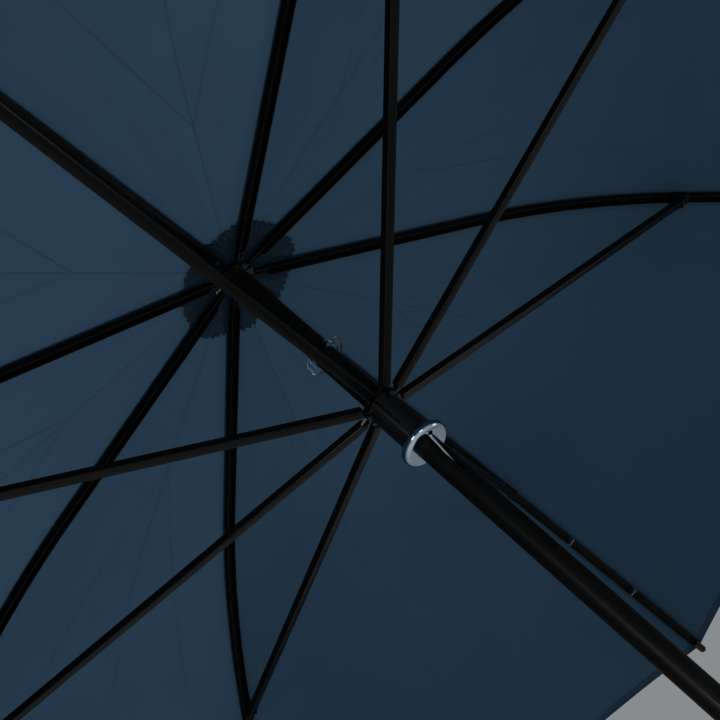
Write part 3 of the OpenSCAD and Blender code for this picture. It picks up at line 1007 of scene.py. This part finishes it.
# %% Rib ties
TIE_SHARES = (0.70, 0.84)
TIE_TURNS = 4
TIE_STEPS = 16
TIE_CREEP = 0.0009
TIE_SQUARE = 1.35
TIE_HALF_WIDTH = RIB_WIDTH / 2 + 0.0005
TIE_BELOW = CHANNEL_DEPTH / 2 + 0.0006


def tie_points(rib, share):
    angle = STEP * (rib - 1)
    points = []
    for i in range(TIE_TURNS * TIE_STEPS + 1):
        turn = 2 * math.pi * i / TIE_STEPS
        along = share * RIB_LENGTH + TIE_CREEP * i / TIE_STEPS
        c, s = math.cos(turn), math.sin(turn)
        across = TIE_HALF_WIDTH * max(-1, min(1, TIE_SQUARE * c))
        up = TIE_BELOW * max(-1, min(1, TIE_SQUARE * s))
        if up > 0:
            up = up * (CLOTH_UP - 0.0002) / TIE_BELOW
            across *= 1 - 0.45 * s * s
        out, height, _ = rib_line(along, up)
        points.append(in_rib_plane(angle, out, across, height))
    return points


def make_ties(rib):
    mesh = wire_mesh("ties", [tie_points(rib, share) for share in TIE_SHARES], 0.00035, 1)
    return place_piece(mesh_object(f"rib_ties_{rib}", mesh, THREAD), f"rib_body_{rib}", "navy_cloth")


ties = [make_ties(rib) for rib in range(1, RIBS + 1)]
print(len(ties) * len(TIE_SHARES), "ties of", TIE_TURNS, "turns")

# %% [markdown]
# Between the crown and the canopy sits a rosette: a disc of the same cloth, gathered round the pole, which keeps the
# ribs' eyes from chafing the canopy. From below it is a darker, crumpled round with a ragged edge. That darkness is
# painted shade: the rosette's material is the navy cloth in darker colours. It is made in eight sectors, one over
# each rib, so that it can go down with the ribs. Between the ribs it hangs in small pleats; over a rib it lies flat
# on the steel.

# %% Rosette
ROSETTE_R = 0.0735
ROSETTE_UP = 0.0051
ROSETTE_INNER = 0.0135
ROSETTE_THICK = 0.0004
ROSETTE_RINGS = 24
ROSETTE_SPOKES = 96
PLEATS = 52
random.seed(7)
EDGE_WAVES = [(n, random.uniform(0, 6.28), random.uniform(0.4, 1.0)) for n in (3, 5, 8, 13, 21, 34, 55)]


def edge_wave(angle, offset=0.0):
    return sum(size * math.sin(n * angle + phase + offset * n) for n, phase, size in EDGE_WAVES) / 3.6


def rosette_point(angle, share):
    """A point of the gathered disc, by angle round the pole and share of its radius."""
    radius = ROSETTE_INNER + (ROSETTE_R * (1 + 0.075 * edge_wave(angle)) - ROSETTE_INNER) * share
    from_rib = (angle + HALF) % STEP - HALF
    clear = abs(radius * math.sin(from_rib)) - 0.0062
    free = max(0.0, min(1.0, clear / 0.007))
    free = free * free * (3 - 2 * free)
    wobble = edge_wave(angle, 0.3 + 0.4 * share)
    pleat = 0.5 + 0.5 * math.sin(PLEATS * angle + 5.5 * wobble)
    hang = free * share ** 1.3 * (0.0015 * pleat + 0.0024 * (1 + wobble) + 0.0006)
    height = CROWN + ROSETTE_UP - (radius - PIVOT_R) * math.tan(SLOPES[0]) - hang
    return Vector((radius * math.cos(angle), radius * math.sin(angle), height))


def make_rosette_sector(rib):
    middle = STEP * (rib - 1)
    rows = []
    for i in range(ROSETTE_RINGS + 1):
        row = []
        for j in range(ROSETTE_SPOKES + 1):
            angle = middle - HALF + STEP * j / ROSETTE_SPOKES
            point = rosette_point(angle, i / ROSETTE_RINGS)
            row.append((point, (point.x, point.y)))
        rows.append(row)
    mesh = sheet_mesh("rosette", rows)
    sector = mesh_object(f"rosette_{rib}", mesh, ROSETTE_CLOTH_PAINTED_SHADE)
    thicken(sector, ROSETTE_THICK)
    smooth_by_angle(sector, 70)
    place_piece(sector, f"rib_body_{rib}", "navy_cloth", "rosette")
    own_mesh(sector)
    return sector


sectors = [make_rosette_sector(rib) for rib in range(1, RIBS + 1)]
print(len(sectors), "rosette sectors")

# %% [markdown]
# The catch is one bent piece of hard spring wire: a leg inside the pole, a ramp out through the slot, a nose that
# carries the runner, and a return. CAD holds it as a flat cut-out; here it is round wire with round bends, which is
# a curve with short arcs at its corners.

# %% Catch
CATCH_ANGLE = math.radians(40)
CATCH_WIRE = 0.0013
LEG_R = 0.0076
COLLAR_RECESS = 0.004
NOSE_GAP = 0.0003
NOSE_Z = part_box("chrome_collar")[0][2] + COLLAR_RECESS - NOSE_GAP - CATCH_WIRE
NOSE_R = 0.0174 - CATCH_WIRE
RAMP = 0.046
BEND_STEPS = 6
RIVET_Z = JOINTS["catch_press"]["pos_m"][2]


def rounded_path(corners, radius):
    """A polyline with each inner corner replaced by a short curve."""
    path = [corners[0]]
    for before, corner, after in zip(corners, corners[1:], corners[2:]):
        reach = min(radius, (before - corner).length * 0.45, (after - corner).length * 0.45)
        enter = corner + (before - corner).normalized() * reach
        leave = corner + (after - corner).normalized() * reach
        for i in range(BEND_STEPS + 1):
            s = i / BEND_STEPS
            path.append(enter * (1 - s) ** 2 + corner * 2 * s * (1 - s) + leave * s * s)
    path.append(corners[-1])
    return path


def wire_piece(name, path, radius, material, closed=False):
    return mesh_object(name, wire_mesh(name, [path], radius, 3, closed), material)


def make_catch():
    flat = [(LEG_R, RIVET_Z + 0.003), (LEG_R, NOSE_Z - RAMP), (NOSE_R, NOSE_Z), (LEG_R, NOSE_Z),
            (LEG_R - 0.003, NOSE_Z - 0.009)]
    corners = [in_rib_plane(CATCH_ANGLE, out, 0, height) for out, height in flat]
    catch = wire_piece("catch_wire", rounded_path(corners, 0.004), CATCH_WIRE, SPRING_WIRE)
    eye = drilled_disc(in_rib_plane(CATCH_ANGLE, LEG_R, 0, RIVET_Z), in_rib_plane(CATCH_ANGLE, 1, 0, 0),
                       outer=0.004, inner=0.0015, thickness=0.002)
    join_into(catch, [mesh_object("catch_eye", eye, SPRING_WIRE)])
    return place_piece(catch, "catch", "bright_steel", "catch_spring")


catch = make_catch()
print("catch nose", round((NOSE_R + CATCH_WIRE) * 1000, 1), "mm out of a pole of", POLE_R * 1000, "mm radius")

# %% [markdown]
# The crown's tie wire is a loop whose ends are twisted together and tucked under. The loop stands for the CAD ring,
# and the twist is two helices round a short line. The runner's wire is the same, lower down.

# %% Tie wires
WIRE_R = 0.001
STRAND_R = 0.0008
RING_STEPS = 96
TWIST_STEPS = 36
TWIST_TURNS = 2.5


def ring_path(height):
    return [in_rib_plane(2 * math.pi * i / RING_STEPS, PIVOT_R, 0, height) for i in range(RING_STEPS)]


def twist_path(angle, height, phase):
    """One of two strands twisted round a short line that runs out and down between two ribs."""
    start = in_rib_plane(angle, PIVOT_R + 0.001, 0, height)
    along = in_rib_plane(angle, 0.012, 0.002, -0.004)
    side = in_rib_plane(angle, 0, 1, 0)
    other = along.normalized().cross(side)
    path = []
    for i in range(TWIST_STEPS + 1):
        s = i / TWIST_STEPS
        turn = phase + 2 * math.pi * TWIST_TURNS * s
        path.append(start + along * s + (side * math.cos(turn) + other * math.sin(turn)) * 0.0009)
    return path


def make_tie_wire(name, height, body, node):
    ring = wire_piece(name, ring_path(height), WIRE_R, TIE_WIRE, closed=True)
    strands = [wire_piece("strand", twist_path(HALF * 13, height, phase), STRAND_R, TIE_WIRE)
               for phase in (0, math.pi)]
    join_into(ring, strands)
    return place_piece(ring, body, "bright_steel", node)


make_tie_wire("crown_tie_wire", CROWN, "mast", "crown_wire")
make_tie_wire("runner_tie_wire", RUNNER_Z, "runner_body", "runner_wire")
print("tie wires at", CROWN, "and", round(RUNNER_Z, 3))

# %% [markdown]
# Moulded and cast parts have no knife edges: a corner catches light because it is rounded. A copy of the CAD mesh is
# merged, its flat areas are dissolved back to single faces, and a Bevel modifier rounds what is left. The copy then
# stands for the CAD node.

# %% Rounded copies
def rounded_copy(node, body, slot, material, width):
    source = bpy.data.objects[node]
    mesh = source.data.copy()
    mesh.transform(source.matrix_world)
    shell = bmesh.new()
    shell.from_mesh(mesh)
    bmesh.ops.remove_doubles(shell, verts=shell.verts, dist=0.00001)
    bmesh.ops.dissolve_limit(shell, angle_limit=math.radians(1.0), verts=shell.verts, edges=shell.edges)
    shell.to_mesh(mesh)
    shell.free()
    mesh.materials.clear()
    copy = mesh_object(node + "_finished", mesh, material)
    bevel = copy.modifiers.new("edges", "BEVEL")
    bevel.width = width
    bevel.segments = 2
    bevel.limit_method = "ANGLE"
    bevel.angle_limit = math.radians(35)
    bake_modifiers(copy)
    smooth_by_angle(copy, 40)
    return place_piece(copy, body, slot, node)


ROUNDED = [
    ("runner", "runner_body", "black_plastic", BLACK_PLASTIC, 0.0006),
    ("crown_notch", "mast", "black_plastic", BLACK_PLASTIC, 0.0004),
    ("crown_cap", "mast", "black_plastic", BLACK_PLASTIC, 0.0005),
    ("finial", "mast", "black_plastic", BLACK_PLASTIC, 0.0008),
    ("stop_ring", "mast", "clear_plastic", CLEAR_PLASTIC, 0.0005),
    ("clamp_knob", "clamp", "black_plastic", BLACK_PLASTIC, 0.002),
    ("socket_tube", "base", "black_steel", POLE_PAINT, 0.0006),
    ("foot_ring", "base", "black_rubber", RUBBER, 0.0012),
]
for entry in ROUNDED:
    piece = rounded_copy(*entry)
    print(piece.name, len(piece.data.polygons), "faces")

# %% [markdown]
# The rest of the CAD nodes have the right shape already and only need their finish.

# %% Finishes on CAD nodes
CAD_FINISH = {
    "upper_pole": POLE_PAINT,
    "lower_pole": POLE_PAINT,
    "chrome_collar": CHROME_PAINTED_REFLECTION,
    "catch_rivet": CHANNEL_PAINT,
    "snap_button": ZINC,
    "base_weight": CONCRETE,
    "clamp_screw": ZINC,
    "pressure_pad": RUBBER,
}
for k in range(1, RIBS + 1):
    CAD_FINISH[f"joint_clip_{k}"] = CHANNEL_PAINT
    CAD_FINISH[f"rib_tip_{k}"] = BLACK_PLASTIC
for node, material in CAD_FINISH.items():
    for slot in bpy.data.objects[node].material_slots:
        slot.material = material
print(len(CAD_FINISH), "CAD nodes finished")

# %% [markdown]
# A plain studio: a pale floor, a dim even surround and one large soft light above, which also glows through the
# cloth. A small light beside the camera and two low at the sides give the glossy black parts something to reflect.

# %% Floor and light
def add_softbox(name, place, target, size, power, colour=(1, 1, 1)):
    data = bpy.data.lights.new(name, "AREA")
    data.shape = "RECTANGLE"
    data.size, data.size_y = size
    data.energy = power
    data.color = colour
    lamp = bpy.data.objects.new(name, data)
    bpy.context.scene.collection.objects.link(lamp)
    lamp.location = place
    lamp.rotation_euler = (Vector(target) - Vector(place)).to_track_quat("-Z", "Y").to_euler()
    return lamp


def add_floor():
    bpy.ops.mesh.primitive_plane_add(size=24)
    floor = bpy.context.object
    floor.name = "floor"
    floor.data.materials.append(finish_shader("pale_floor", (0.72, 0.72, 0.71), 0.8))


def add_surround():
    world = bpy.data.worlds.new("surround")
    world.use_nodes = True
    world.node_tree.nodes["Background"].inputs["Color"].default_value = (0.86, 0.90, 0.95, 1)
    world.node_tree.nodes["Background"].inputs["Strength"].default_value = 0.3
    bpy.context.scene.world = world


add_floor()
add_surround()
add_softbox("top_light", (2.4, -1.4, 5.0), (0, 0, 1.8), (3.2, 3.2), 320)
add_softbox("eye_light", (1.75, -0.35, 1.75), (0, 0, 1.75), (0.45, 0.45), 14)
add_softbox("low_front", (2.6, 1.6, 0.7), (0, 0, 2.1), (0.7, 0.7), 16)
add_softbox("low_side", (-0.6, 2.8, 0.6), (0, 0, 2.0), (0.7, 0.7), 16, (1.0, 0.96, 0.9))
print("studio ready")
